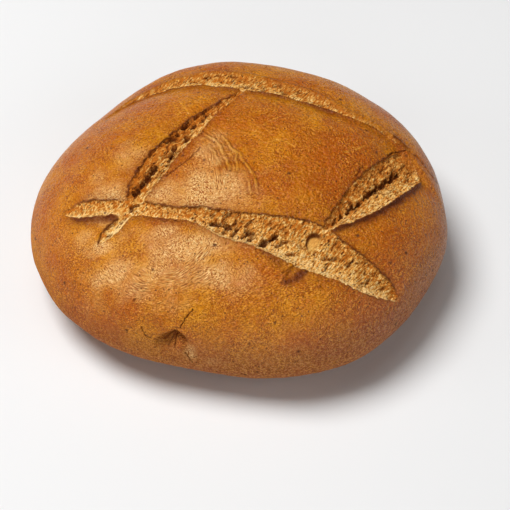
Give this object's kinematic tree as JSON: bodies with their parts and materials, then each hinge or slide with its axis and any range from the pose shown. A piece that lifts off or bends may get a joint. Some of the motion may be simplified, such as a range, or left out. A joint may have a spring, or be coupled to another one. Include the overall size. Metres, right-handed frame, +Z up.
{
  "type": "whole wheat bread loaf",
  "caption": "Round hearth-baked whole wheat loaf with a satin brown crust, risen open along crossing cuts that show pale crumb; stands on its flat base.",
  "frame": {"origin": "middle of the footprint's box, on the surface that the loaf stands on", "axes": "+Z up through the crown, +X along the loaf's wider direction, -Y towards the side with the widest open cut"},
  "size_m": [0.2352, 0.2236, 0.0861],
  "materials": {
    "crust": "baked wheat crust: golden to reddish brown, satin, finely wrinkled, with rough pale crumb in the open cuts"
  },
  "bodies": {
    "root": {"loaf": "crust"}
  },
  "joints": []
}
